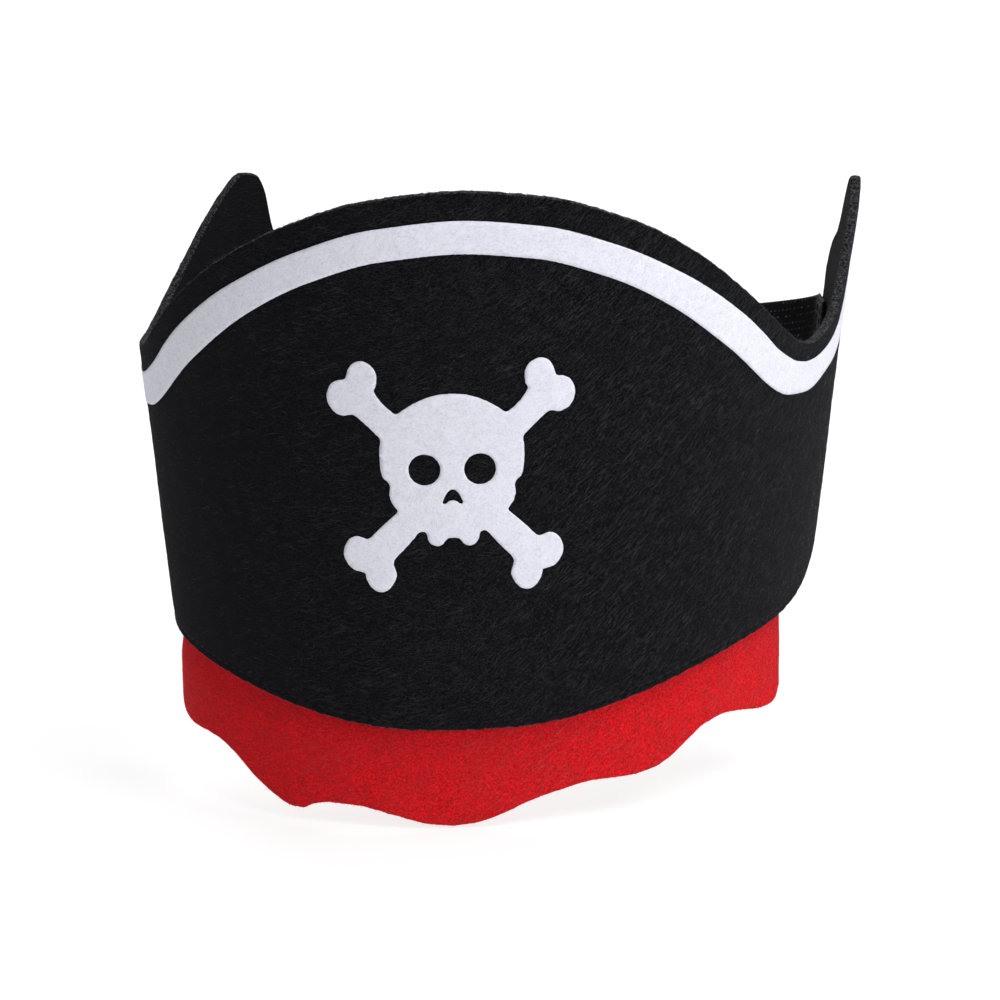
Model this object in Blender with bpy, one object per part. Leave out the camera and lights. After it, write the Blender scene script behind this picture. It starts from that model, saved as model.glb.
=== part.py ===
"""A child's felt pirate hat: a printed black felt panel bent round the head, a red scalloped felt strip
sewn inside its lower edge, and an elastic band that closes it behind.

Every outline is drawn on the flat felt as (along, up) in millimetres: "along" runs round the head from
the middle of the front, negative to the left of someone who looks at the skull, and "up" is the height
above the lowest point of the black edge. place() then bends the flat felt into the flared hat.
The origin is where the wearer's head fills the hat: the middle of the head opening, level with the lowest
point of the black edge. The skull looks along -Y, and the elastic closes the back, at +Y.
"""
import math

import bmesh
import bpy
import numpy as np
from mathutils import Vector

# Driving dimensions, in millimetres
MM = 0.001
FELT = 3.0
RED_FELT = 1.5
PRINT = 0.3
ELASTIC = 1.2
GAP = 0.3
THREAD = 0.45

FLARE = 0.00117
FLARE_CENTRE = 100.0
HEAD_CENTRE = (14.0, 72.0)

PANEL_REACH = 200.0
CURL_STEP = 40.0
CURL_LEFT = (11.7, 12.7, 14.3, 16.3, 13.2, 10.8)
CURL_RIGHT = (9.2, 9.6, 10.5, 8.9, 4.2, 3.2)

# Upper edge of the black felt: crest, dip, ear, and the low end that takes the elastic
TOP_EDGE = (
    (0, 150.0), (20, 147.6), (40, 140.3), (60, 129.0), (80, 114.5), (95, 103.0), (105, 97.4),
    (115, 95.4), (125, 96.2), (135, 98.8), (145, 104.3), (155, 112.0), (165, 121.8), (173, 129.4),
    (179, 133.0), (183, 132.0), (185, 128.0), (186.5, 117.5), (188.5, 112.5), (195, 108.0), (200, 100.0),
)
BOTTOM_EDGE = (
    (0, 0.0), (15, 0.2), (30, 1.7), (50, 5.7), (70, 10.4), (90, 14.1), (110, 16.4),
    (130, 20.0), (145, 24.5), (160, 32.5), (175, 44.5), (190, 56.0), (200, 60.5),
)
# How much lower the right half is cut than the left one
RIGHT_TRIM = (
    (45, 0.0), (85, 1.7), (108, 1.3), (128, 0.0), (142, 0.0), (175, 4.0), (184, 4.0), (189, 0.5),
)
# The right ear also leans outwards
EAR_LEAN = 1.4
EAR_LEAN_FROM = (140.0, 100.0)
EAR_LEAN_TO = (170.0, 132.0)
# Wavy lower edge of the red strip, which is cut by eye and differs from left to right
SCALLOPS = (
    (-121, -4.0), (-118, -8.5), (-113, -11.0), (-106, -12.0), (-98, -11.2), (-89, -10.4), (-81, -11.2),
    (-73, -14.4), (-65, -19.2), (-57, -23.0), (-51.5, -24.6), (-48, -23.6), (-40, -22.2), (-32, -22.4),
    (-20, -24.8), (-10, -27.2), (-3, -27.8), (4, -27.0), (11, -24.8), (18, -22.0), (28, -19.4),
    (38, -18.0), (48, -18.1), (56, -17.4), (62, -15.4), (69, -11.4), (76, -8.0), (84, -6.9),
    (94, -8.0), (104, -9.8), (111, -10.0), (115, -8.6), (118, -4.5),
)

STRIPE_MARGIN = 7.6
STRIPE_WIDTH = 9.05
STRIPE_REACH = 169.0

SKULL_CENTRE = -2.0
CRANIUM = (0.0, 79.2, 17.7, 16.2)
EYE = (6.8, 74.2, 4.3)
BONE_WIDTH = 8.5
UPPER_KNOBS = ((21.5, 99.9, 4.2), (25.9, 93.8, 4.85))
LOWER_KNOBS = ((24.0, 50.4, 4.5), (18.8, 43.9, 4.3))

STRIP_LEFT, STRIP_RIGHT = -121.0, 118.0
STRIP_OVERLAP = 9.0
STRIP_KICK = 1.6
STRIP_KICK_LENGTH = 12.0
HEM_INSET = 2.2

ELASTIC_LOW = 63.5
ELASTIC_HIGH = 90.5
ELASTIC_OVERLAP = 12.0
ELASTIC_BOW = 24.0
ELASTIC_SAG = 6.0


def smooth_curve(points):
    """A function through the points that never overshoots between two of them."""
    x = np.array([point[0] for point in points], float)
    y = np.array([point[1] for point in points], float)
    step = np.diff(x)
    slope = np.diff(y) / step
    tangent = np.zeros(len(x))
    for i in range(1, len(x) - 1):
        if slope[i - 1] * slope[i] > 0:
            tangent[i] = 2 * slope[i - 1] * slope[i] / (slope[i - 1] + slope[i])

    def value(at):
        i = np.clip(np.searchsorted(x, at) - 1, 0, len(step) - 1)
        t = np.clip((at - x[i]) / step[i], 0, 1)
        rise = y[i] * (1 + 2 * t) * (1 - t) ** 2 + y[i + 1] * t * t * (3 - 2 * t)
        return float(rise + step[i] * (tangent[i] * t * (1 - t) ** 2 + tangent[i + 1] * t * t * (t - 1)))

    return value


top_of_half = smooth_curve(TOP_EDGE)
bottom_of_half = smooth_curve(BOTTOM_EDGE)
right_trim = smooth_curve(RIGHT_TRIM)
scallop_edge = smooth_curve(SCALLOPS)


def ease(t):
    t = min(1.0, max(0.0, t))
    return t * t * (3 - 2 * t)


def top_edge(along):
    return top_of_half(abs(along)) - right_trim(along)


def bottom_edge(along):
    return bottom_of_half(abs(along))


def plan_curve():
    """The line round the head at height 0: arc length, position and heading, one entry a millimetre."""
    arc = np.arange(-PANEL_REACH - 20, PANEL_REACH + 21)
    knots = np.arange(len(CURL_LEFT)) * CURL_STEP
    left = np.interp(-arc, knots, CURL_LEFT)
    right = np.interp(arc, knots, CURL_RIGHT)
    curl = np.where(arc < 0, left, right) * MM
    middle = len(arc) // 2
    heading = np.concatenate([[0], np.cumsum((curl[1:] + curl[:-1]) / 2)])
    heading -= heading[middle]
    x = np.concatenate([[0], np.cumsum((np.cos(heading[1:]) + np.cos(heading[:-1])) / 2)])
    y = np.concatenate([[0], np.cumsum((np.sin(heading[1:]) + np.sin(heading[:-1])) / 2)])
    return arc, x - x[middle], y - y[middle], heading


ARC, PLAN_X, PLAN_Y, HEADING = plan_curve()


def place(along, up, depth, hang_from=None):
    """Bend a point of the flat felt into the hat, depth behind its outer face.

    The cone widens with height. Below hang_from the felt hangs plumb instead.
    """
    level = up if hang_from is None else max(up, hang_from)
    widen = 1 + FLARE * level
    lean = EAR_LEAN
    for at, start, end in zip((along, up), EAR_LEAN_FROM, EAR_LEAN_TO):
        lean = lean * ease((at - start) / (end - start))
    depth -= lean
    heading = np.interp(along, ARC, HEADING)
    x = np.interp(along, ARC, PLAN_X) * widen - math.sin(heading) * depth
    y = FLARE_CENTRE + (np.interp(along, ARC, PLAN_Y) - FLARE_CENTRE) * widen + math.cos(heading) * depth
    return Vector((x - HEAD_CENTRE[0], y - HEAD_CENTRE[1], up)) * MM


def clear_scene():
    for old in list(bpy.data.objects):
        bpy.data.objects.remove(old)


def material(name, colour, roughness, metallic=0.0):
    made = bpy.data.materials.new(name)
    made.use_nodes = True
    shader = made.node_tree.nodes["Principled BSDF"]
    shader.inputs["Base Color"].default_value = (*colour, 1)
    shader.inputs["Roughness"].default_value = roughness
    shader.inputs["Metallic"].default_value = metallic
    return made


def finish(name, mesh_data, look):
    """Give the mesh its material and its smooth shading."""
    made = bpy.data.objects.new(name, mesh_data)
    bpy.context.scene.collection.objects.link(made)
    mesh_data.materials.append(look)
    mesh_data.shade_smooth()
    mesh_data.set_sharp_from_angle(angle=math.radians(35))
    return made


def shell_mesh(name, front, back):
    """A closed sheet between two grids of points that match, each a list of columns."""
    build = bmesh.new()
    sides = [[[build.verts.new(point) for point in column] for column in grid] for grid in (front, back)]
    wide = len(front)
    high = len(front[0])
    for side in sides:
        for i in range(wide - 1):
            for j in range(high - 1):
                build.faces.new((side[i][j], side[i + 1][j], side[i + 1][j + 1], side[i][j + 1]))
    rim = [(i, 0) for i in range(wide)]
    rim += [(wide - 1, j) for j in range(1, high)]
    rim += [(i, high - 1) for i in range(wide - 2, -1, -1)]
    rim += [(0, j) for j in range(high - 2, 0, -1)]
    near, far = sides
    for (i, j), (k, m) in zip(rim, rim[1:] + rim[:1]):
        build.faces.new((near[i][j], near[k][m], far[k][m], far[i][j]))
    bmesh.ops.recalc_face_normals(build, faces=build.faces)
    made = bpy.data.meshes.new(name)
    build.to_mesh(made)
    build.free()
    return made


def column(along, low, high, rows):
    return [(along, low + (high - low) * j / rows) for j in range(rows + 1)]


def bend(grid, depth):
    return [[place(along, up, depth) for along, up in line] for line in grid]


def steps(start, end, size):
    count = max(1, round(abs(end - start) / size))
    return [start + (end - start) * i / count for i in range(count + 1)]


def felt_panel(look):
    """One piece of black felt, with columns packed close where the ear drops to the elastic's end."""
    half = steps(0, 175, 5)[1:] + steps(175, 184, 1.5)[1:] + steps(184, 188, 0.8)[1:] + steps(188, 200, 2)[1:]
    stations = [-along for along in reversed(half)] + [0.0] + half
    grid = [column(along, bottom_edge(along), top_edge(along), 5) for along in stations]
    return finish("felt_panel", shell_mesh("felt_panel", bend(grid, 0), bend(grid, FELT)), look)


def inset_point(along, inset):
    """The point that lies inset below the untrimmed top edge, measured square to it on the bent felt."""
    side = abs(along)
    rise = top_of_half(side + 0.5) - top_of_half(side - 0.5)
    widen = 1 + FLARE * top_of_half(side)
    length = math.hypot(widen, rise)
    moved = side + rise / length * inset / widen
    return math.copysign(moved, along), top_of_half(side) - widen / length * inset


def trim_stripe_print(look):
    """A printed stripe of even width that follows the top edge from ear to ear."""
    grid = []
    for along in steps(-STRIPE_REACH, STRIPE_REACH, 4):
        low = inset_point(along, STRIPE_MARGIN + STRIPE_WIDTH)
        high = inset_point(along, STRIPE_MARGIN)
        grid.append([low, ((low[0] + high[0]) / 2, (low[1] + high[1]) / 2), high])
    front, back = bend(grid, -GAP - PRINT), bend(grid, -GAP)
    return finish("trim_stripe_print", shell_mesh("trim_stripe_print", front, back), look)


def flat_disc(centre, up, wide, tall=None, thick=PRINT):
    """An upright disc or oval in the flat pattern, thick along Y, for the skull's drawing."""
    build = bmesh.new()
    bmesh.ops.create_cone(build, cap_ends=True, segments=28, radius1=1, radius2=1, depth=thick)
    for point in build.verts:
        x, y, z = point.co
        point.co = (centre + x * wide, z, up + y * (tall or wide))
    return build


def flat_bar(start, end, wide, thick=PRINT):
    """An upright bar in the flat pattern, from start to end."""
    build = bmesh.new()
    bmesh.ops.create_cube(build, size=1)
    run = Vector((end[0] - start[0], 0, end[1] - start[1]))
    side = Vector((-run.z, 0, run.x)).normalized() * wide
    middle = Vector((start[0] + end[0], 0, start[1] + end[1])) / 2
    for point in build.verts:
        x, y, z = point.co
        point.co = middle + run * x + side * z + Vector((0, y * thick, 0))
    return build


def combine(pieces, operation):
    """Boolean the pieces in order, the first one with each of the others, and return the mesh."""
    objects = []
    for i, build in enumerate(pieces):
        bmesh.ops.recalc_face_normals(build, faces=build.faces)
        data = bpy.data.meshes.new(f"drawing_{i}")
        build.to_mesh(data)
        build.free()
        made = bpy.data.objects.new(f"drawing_{i}", data)
        bpy.context.scene.collection.objects.link(made)
        objects.append(made)
    for cutter in objects[1:]:
        modifier = objects[0].modifiers.new("join", "BOOLEAN")
        modifier.operation = operation
        modifier.object = cutter
    graph = bpy.context.evaluated_depsgraph_get()
    mesh = bpy.data.meshes.new_from_object(objects[0].evaluated_get(graph))
    for made in objects:
        bpy.data.objects.remove(made)
    result = bmesh.new()
    result.from_mesh(mesh)
    return result


def skull_pieces():
    """Cranium, cheeks, jaw, teeth, and two crossed bones with two knobs at each end."""
    pieces = [flat_disc(*CRANIUM)]
    pieces.append(flat_disc(0, 72.5, 17.3, 9.5))
    pieces.append(flat_bar((0, 76.0), (0, 66.2), 31.4))
    pieces.append(flat_bar((0, 68.0), (0, 60.0), 29.0))
    pieces.append(flat_bar((0, 62.5), (0, 56.2), 20.0))
    for side in (-1, 1):
        pieces.append(flat_bar((side * 4.0, 60.0), (side * 4.0, 54.2), 6.6))
        pieces.append(flat_disc(side * 4.0, 54.4, 2.6, 1.7))
        upper = [(side * x, up, size) for x, up, size in UPPER_KNOBS]
        lower = [(-side * x, up, size) for x, up, size in LOWER_KNOBS]
        ends = []
        for knobs in (upper, lower):
            ends.append(tuple((knobs[0][k] + knobs[1][k]) / 2 for k in (0, 1)))
            pieces += [flat_disc(*knob) for knob in knobs]
        pieces.append(flat_bar(*ends, BONE_WIDTH))
    return pieces


def skull_print(look):
    """The skull and crossbones, drawn flat, sliced into narrow columns and bent on to the panel."""
    solid = combine(skull_pieces(), "UNION")
    deep = 4 * PRINT
    holes = [flat_disc(side * EYE[0], EYE[1], EYE[2], thick=deep) for side in (-1, 1)]
    holes.append(flat_disc(0, 67.0, 1.5, 1.9, thick=deep))
    holes += [flat_disc(side * 1.35, 65.5, 1.15, 1.5, thick=deep) for side in (-1, 1)]
    drawing = bpy.data.meshes.new("drawing")
    solid.to_mesh(drawing)
    solid.free()
    start = bmesh.new()
    start.from_mesh(drawing)
    build = combine([start] + holes, "DIFFERENCE")
    for cut in steps(-28, 28, 4):
        everything = build.verts[:] + build.edges[:] + build.faces[:]
        bmesh.ops.bisect_plane(build, geom=everything, dist=1e-4, plane_co=(cut, 0, 0), plane_no=(1, 0, 0))
    bmesh.ops.triangulate(build, faces=build.faces[:])
    for point in build.verts:
        x, y, z = point.co
        point.co = place(SKULL_CENTRE + x, z, y - GAP - PRINT / 2)
    bmesh.ops.recalc_face_normals(build, faces=build.faces)
    data = bpy.data.meshes.new("skull_print")
    build.to_mesh(data)
    build.free()
    return finish("skull_print", data, look)


def strip_point(along, up, depth):
    """A point of the red strip, which hangs plumb below the black edge and kicks out at the left."""
    edge = bottom_edge(along)
    below = max(0.0, edge - up)
    kick = STRIP_KICK * ease(below / STRIP_KICK_LENGTH) * ease(along / STRIP_LEFT)
    return place(along, up, depth - kick, hang_from=edge)


def scallop_strip(look):
    near = FELT + GAP
    stations = steps(STRIP_LEFT, STRIP_RIGHT, 3)
    grid = []
    for along in stations:
        edge = bottom_edge(along)
        heights = [scallop_edge(along) + (edge - 1 - scallop_edge(along)) * j / 4 for j in range(5)]
        grid.append([(along, up) for up in heights + [edge + STRIP_OVERLAP / 2, edge + STRIP_OVERLAP]])
    front = [[strip_point(along, up, near) for along, up in line] for line in grid]
    back = [[strip_point(along, up, near + RED_FELT) for along, up in line] for line in grid]
    return finish("scallop_strip", shell_mesh("scallop_strip", front, back), look)


def elastic_line(up):
    """One level of the elastic: along one end of the felt, slack across the back, along the other end."""
    depth = FELT + GAP + ELASTIC / 2
    sewn = steps(PANEL_REACH - ELASTIC_OVERLAP, PANEL_REACH, 3)
    right = [place(along, up, depth) for along in sewn]
    left = [place(-along, up, depth) for along in sewn]
    start, end = right[-1], left[-1]
    leave = start + (right[-1] - right[-2]).normalized() * ELASTIC_BOW * MM
    arrive = end + (left[-1] - left[-2]).normalized() * ELASTIC_BOW * MM
    span = []
    for i in range(1, 24):
        t = i / 24
        point = start * (1 - t) ** 3 + leave * 3 * t * (1 - t) ** 2
        point += arrive * 3 * t * t * (1 - t) + end * t ** 3
        span.append(point - Vector((0, 0, ELASTIC_SAG * MM * 4 * t * (1 - t))))
    return right + span + left[::-1]


def elastic_band(look):
    """A flat band that lies against the felt at its ends and hangs slack between them."""
    levels = [elastic_line(up) for up in steps(ELASTIC_LOW, ELASTIC_HIGH, 7)]
    front = []
    back = []
    last = len(levels[0]) - 1
    for i in range(last + 1):
        points = [level[i] for level in levels]
        run = levels[0][min(i + 1, last)] - levels[0][max(i - 1, 0)]
        across = run.cross(points[-1] - points[0]).normalized() * ELASTIC / 2 * MM
        front.append([point + across for point in points])
        back.append([point - across for point in points])
    return finish("elastic_band", shell_mesh("elastic_band", front, back), look)


def thread(name, points, look):
    """A round sewing thread along the points."""
    data = bpy.data.curves.new(name, "CURVE")
    data.dimensions = "3D"
    data.bevel_depth = THREAD / 2 * MM
    data.bevel_resolution = 1
    data.use_fill_caps = True
    spline = data.splines.new("POLY")
    spline.points.add(len(points) - 1)
    for target, point in zip(spline.points, points):
        target.co = (*point, 1)
    data.materials.append(look)
    made = bpy.data.objects.new(name, data)
    bpy.context.scene.collection.objects.link(made)
    return made


def hem_threads(look):
    """The seam that joins the red strip to the black felt: one thread on each face."""
    off = GAP + THREAD / 2
    stations = steps(STRIP_LEFT + 2, STRIP_RIGHT - 2, 3)
    outside = [place(along, bottom_edge(along) + HEM_INSET, -off) for along in stations]
    inside = [place(along, bottom_edge(along) + HEM_INSET, FELT + GAP + RED_FELT + off) for along in stations]
    thread("hem_needle_thread", outside, look)
    thread("hem_bobbin_thread", inside, look)


def elastic_threads(look):
    """Two upright rows of stitches at each end of the elastic, sewn as one run, seen on both faces."""
    off = GAP + THREAD / 2
    low, high = ELASTIC_LOW + 2, ELASTIC_HIGH - 2
    inner, outer = PANEL_REACH - ELASTIC_OVERLAP + 2.5, PANEL_REACH - 3
    path = [(inner, up) for up in steps(low, high, 3)]
    path += [(along, high) for along in steps(inner, outer, 2.5)[1:]]
    path += [(outer, up) for up in steps(high, low, 3)[1:]]
    for side, sign in (("left", -1), ("right", 1)):
        needle = [place(sign * along, up, -off) for along, up in path]
        bobbin = [place(sign * along, up, FELT + GAP + ELASTIC + off) for along, up in path]
        thread(f"{side}_elastic_needle_thread", needle, look)
        thread(f"{side}_elastic_bobbin_thread", bobbin, look)


def main():
    clear_scene()

    black_felt = material("black_felt", (0.009, 0.009, 0.011), 0.95)
    red_felt = material("red_felt", (0.55, 0.012, 0.022), 0.9)
    white_ink = material("white_ink", (0.76, 0.76, 0.82), 0.6)
    black_elastic = material("black_elastic", (0.012, 0.012, 0.013), 0.7)
    black_thread = material("black_thread", (0.01, 0.01, 0.011), 0.5)

    felt_panel(black_felt)
    trim_stripe_print(white_ink)
    skull_print(white_ink)
    scallop_strip(red_felt)
    elastic_band(black_elastic)
    hem_threads(black_thread)
    elastic_threads(black_thread)


main()
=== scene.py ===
"""The felt pirate hat as it looks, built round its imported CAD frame.

Outlines are drawn on the flat felt as (along, up) in millimetres, as in the CAD: "along" runs round the head
from the middle of the front, negative to the left of someone who looks at the skull, and "up" is the height
above the lowest point of the black edge. "Depth" is measured inward from the black felt's outer face. place()
bends the flat felt into the flared hat, and returns metres. Each cloth piece keeps its flat coordinates in an
attribute, so its fibres and weave keep their true size. Lengths are in millimetres and angles in degrees, but
the camera and the lights are placed in metres.
"""

import math

import bmesh
import bpy
import numpy as np
from mathutils import Matrix, Vector, geometry, noise


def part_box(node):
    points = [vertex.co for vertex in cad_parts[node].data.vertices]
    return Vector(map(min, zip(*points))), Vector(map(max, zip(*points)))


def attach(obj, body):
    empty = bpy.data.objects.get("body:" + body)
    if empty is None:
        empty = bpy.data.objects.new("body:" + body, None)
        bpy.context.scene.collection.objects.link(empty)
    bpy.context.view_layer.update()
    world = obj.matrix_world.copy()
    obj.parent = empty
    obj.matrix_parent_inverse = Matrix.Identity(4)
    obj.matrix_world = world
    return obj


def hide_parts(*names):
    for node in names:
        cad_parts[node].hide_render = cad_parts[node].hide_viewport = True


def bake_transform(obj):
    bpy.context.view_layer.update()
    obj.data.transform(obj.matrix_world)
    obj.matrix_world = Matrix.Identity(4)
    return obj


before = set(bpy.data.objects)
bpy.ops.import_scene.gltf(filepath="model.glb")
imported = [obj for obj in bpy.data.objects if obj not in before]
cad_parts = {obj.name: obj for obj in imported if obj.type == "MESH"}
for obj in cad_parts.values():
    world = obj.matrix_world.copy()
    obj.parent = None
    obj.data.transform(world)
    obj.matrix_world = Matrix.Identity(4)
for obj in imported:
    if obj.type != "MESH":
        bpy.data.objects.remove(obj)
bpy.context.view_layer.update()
random = np.random.default_rng(7)

MM = 0.001

# Thicknesses, and the gap between two layers
FELT = 3.0
RED_FELT = 1.5
ELASTIC = 1.2
GAP = 0.3

# The bend of the felt. In plan its curl is given in thousandths of a radian a millimetre, at every CURL_STEP
# from the middle. Upward it widens by FLARE a millimetre.
FLARE = 0.00117
FLARE_CENTRE = 100.0
HEAD_CENTRE = (14.0, 72.0)
PANEL_REACH = 200.0
CURL_STEP = 40.0
CURL_LEFT = (11.7, 12.7, 14.3, 16.3, 13.2, 10.8)
CURL_RIGHT = (9.2, 9.6, 10.5, 8.9, 4.2, 3.2)

# The edges of the black felt by distance from the middle, and by how much its upper edge is lower in the
# right half and higher in the left
TOP_EDGE = (
    (0, 150.0), (20, 147.6), (40, 140.3), (60, 129.0), (80, 114.5), (95, 103.0), (105, 97.4),
    (115, 95.4), (125, 96.2), (135, 98.8), (145, 104.3), (155, 112.0), (165, 121.8), (173, 129.4),
    (179, 133.0), (183, 132.0), (185, 128.0), (186.5, 117.5), (188.5, 112.5), (195, 108.0), (200, 100.0),
)
BOTTOM_EDGE = (
    (0, 0.0), (15, 0.2), (30, 1.7), (50, 5.7), (70, 10.4), (90, 14.1), (110, 16.4),
    (130, 20.0), (145, 24.5), (160, 32.5), (175, 44.5), (190, 56.0), (200, 60.5),
)
RIGHT_TRIM = (
    (45, 0.0), (85, 1.7), (108, 1.3), (128, 0.0), (142, 0.0), (175, 4.0), (184, 4.0), (189, 0.5),
)
LEFT_LIFT = (
    (-188, 0.0), (-182, 0.9), (-177, 0.8), (-169, 0.0), (-130, 0.0), (-122, 0.7), (-113, 1.3), (-104, 0.8),
    (-96, 0.0),
)

# The right ear leans out, growing from one (along, up) to the other
EAR_LEAN = 1.4
EAR_LEAN_FROM = (140.0, 100.0)
EAR_LEAN_TO = (170.0, 132.0)

# The red strip: its lower edge, its ends, how far it is sewn up behind the black felt, and how it kicks out
SCALLOPS = (
    (-121, -2.5), (-118, -5.0), (-113, -7.4), (-106, -9.2), (-98, -9.7), (-89, -9.6), (-81, -10.3),
    (-73, -13.3), (-65, -18.4), (-57, -22.8), (-52, -24.8), (-48.5, -24.9), (-44.5, -23.3), (-40, -22.5),
    (-32, -22.7), (-20, -25.1), (-10, -27.5), (-3, -27.9), (4, -27.0), (11, -24.9), (18, -22.1), (28, -19.5),
    (38, -18.0), (48, -18.1), (56, -17.4), (62, -15.4), (69, -11.4), (76, -8.0), (84, -6.9),
    (94, -8.1), (104, -9.9), (111, -10.4), (115, -9.7), (118, -6.6),
)
STRIP_LEFT, STRIP_RIGHT = -121.0, 118.0
STRIP_OVERLAP = 9.0
STRIP_KICK = 1.6
STRIP_KICK_LENGTH = 12.0

# The printed stripe: its distance below the upper edge, its width, and small corrections of its two lines
STRIPE_MARGIN = 7.6
STRIPE_WIDTH = 9.05
STRIPE_REACH = 169.0
STRIPE_LIFT_HIGH = (
    (0, 0.0), (45, 0.3), (76, 0.95), (85, 0.8), (92, 0.2), (98, 0.6), (107, 1.1), (113, 1.7),
    (122, 2.2), (132, 2.8), (145, 3.0), (169, 2.0),
)
STRIPE_LIFT_LOW = (
    (0, 0.1), (45, 0.6), (65, 0.1), (80, -0.2), (89, -0.7), (96, -0.2), (101, 0.6), (107, 1.5),
    (113, 2.1), (120, 3.1), (128, 4.0), (138, 3.6), (150, 3.0), (169, 2.0),
)

# The ink's thickness, and its gap over the felt
PRINT = 0.16
PRINT_LIFT = 0.10

# The elastic's edges where it is sewn on, how far it bows back and sags, and its weave
ELASTIC_LOW = 63.5
ELASTIC_HIGH = 90.5
ELASTIC_OVERLAP = 12.0
ELASTIC_BOW = 24.0
ELASTIC_SAG = 6.0
ELASTIC_RIB = 1.5
ELASTIC_PICK = 1.0
ELASTIC_RELIEF = 0.10
ELASTIC_ROUND = 0.35
ELASTIC_SCALLOP = 0.12

# Seams: the hem, and at each end of the elastic a line up one side, over and down the other. Each stitch
# rises out of its groove and dives back in, and leaves a small part of its length to the hole at either end.
HEM_INSET = 2.2
ELASTIC_SEAMS = (PANEL_REACH - ELASTIC_OVERLAP + 2.5, PANEL_REACH - 3)
ELASTIC_SEAM_INSET = 2.0
SEAM_GROOVE = 0.38
GROOVE_WIDTH = 0.7
STITCH = 3.0
STITCH_RISE = 0.32
STITCH_SINK = 0.26
STITCH_HOLE = 0.08
THREAD_RADIUS = 0.24

EDGE_FIBRE_RADIUS = 0.036

# Right half of the skull and crossbones, from the middle of the crown down to the gap between the teeth
SKULL_CENTRE = -2.0
SKULL_HALF = (
    (0.0, 95.4), (3.0, 95.2), (6.0, 94.3), (9.0, 92.8), (11.5, 91.1), (13.1, 89.9), (14.7, 90.9),
    (16.5, 92.8), (18.0, 95.2), (18.4, 96.3), (17.9, 97.6), (17.6, 99.6), (17.9, 101.6), (19.0, 103.3),
    (20.5, 104.2), (21.9, 104.3), (23.4, 103.5), (24.5, 101.8), (25.1, 99.7), (25.9, 99.1), (27.3, 98.9),
    (28.8, 97.9), (29.8, 96.0), (30.1, 94.0), (29.5, 91.7), (28.2, 90.0), (26.2, 89.2), (24.3, 89.6),
    (23.2, 89.2), (21.0, 87.1), (18.8, 84.7), (17.4, 82.8), (17.6, 80.5), (17.7, 77.5), (17.5, 74.0),
    (16.9, 71.9), (16.0, 71.1), (15.4, 69.7), (15.6, 67.5), (15.2, 65.5), (14.4, 64.0), (13.8, 62.6),
    (15.5, 60.8), (18.4, 57.9), (20.7, 55.4), (21.9, 54.8), (23.2, 55.2), (24.5, 55.5), (26.3, 54.7),
    (27.6, 52.8), (28.1, 50.4), (27.4, 48.0), (25.8, 46.1), (23.6, 45.4), (22.8, 45.1), (22.4, 43.3),
    (21.2, 41.1), (19.3, 39.9), (17.1, 40.4), (15.5, 42.3), (14.6, 44.6), (15.0, 46.7), (15.3, 48.0),
    (14.7, 49.5), (12.5, 52.0), (9.9, 55.1), (8.7, 56.7), (7.6, 57.1), (6.7, 56.6), (6.3, 54.8),
    (5.4, 53.5), (4.0, 53.0), (2.7, 53.5), (2.0, 54.5), (1.2, 55.2), (0.0, 55.3),
)
# An eye: the middle's distance from the skull's middle line, its height, and half its width and height
EYE = (6.8, 74.4, 3.9, 4.3)
NOSE_HALF = (
    (0.0, 68.9), (0.9, 68.5), (1.7, 67.4), (2.3, 66.0), (2.5, 65.2), (2.2, 64.8), (1.6, 65.0), (0.9, 65.6),
    (0.0, 65.8),
)

# How far inside a felt's two faces its cut edge's look starts
CUT_MARGIN = 0.05

# Mesh density: rim points across a cut edge, stations on each sewn end and on the free span of the elastic,
# and sides of a thread and of a fibre
RIM_POINTS = 5
SEWN_STATIONS = 25
SPAN_STATIONS = 380
THREAD_SIDES = 10
FIBRE_SIDES = 3

# How far the floor lies below the CAD's red strip
FLOOR_BELOW = 1.0

# The camera's azimuth, elevation and roll, and its place in metres
CAMERA_ANGLES = (-3.0, 13.0, -1.04)
CAMERA_PLACE = (-0.0661, -1.2728, 0.3413)
CAMERA_LENS = 165.87
CAMERA_SENSOR = 36.0


# ---------------------------------------------------------------- shape of the hat

def smooth_curve(points):
    """A function through the points that never overshoots between two of them."""
    x = np.array([point[0] for point in points], float)
    y = np.array([point[1] for point in points], float)
    step = np.diff(x)
    slope = np.diff(y) / step
    tangent = np.zeros(len(x))
    for i in range(1, len(x) - 1):
        if slope[i - 1] * slope[i] > 0:
            tangent[i] = 2 * slope[i - 1] * slope[i] / (slope[i - 1] + slope[i])

    def value(at):
        at = np.asarray(at, float)
        i = np.clip(np.searchsorted(x, at) - 1, 0, len(step) - 1)
        t = np.clip((at - x[i]) / step[i], 0, 1)
        rise = y[i] * (1 + 2 * t) * (1 - t) ** 2 + y[i + 1] * t * t * (3 - 2 * t)
        return rise + step[i] * (tangent[i] * t * (1 - t) ** 2 + tangent[i + 1] * t * t * (t - 1))

    return value


top_of_half = smooth_curve(TOP_EDGE)
bottom_of_half = smooth_curve(BOTTOM_EDGE)
right_trim = smooth_curve(RIGHT_TRIM)
left_lift = smooth_curve(LEFT_LIFT)
scallop_edge = smooth_curve(SCALLOPS)
stripe_lift_high = smooth_curve(STRIPE_LIFT_HIGH)
stripe_lift_low = smooth_curve(STRIPE_LIFT_LOW)


def ease(t):
    """0 to 1, with a soft start and end."""
    t = np.clip(t, 0, 1)
    return t * t * (3 - 2 * t)


def top_edge(along):
    return top_of_half(np.abs(along)) - right_trim(along) + left_lift(along)


def bottom_edge(along):
    return bottom_of_half(np.abs(along))


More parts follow.
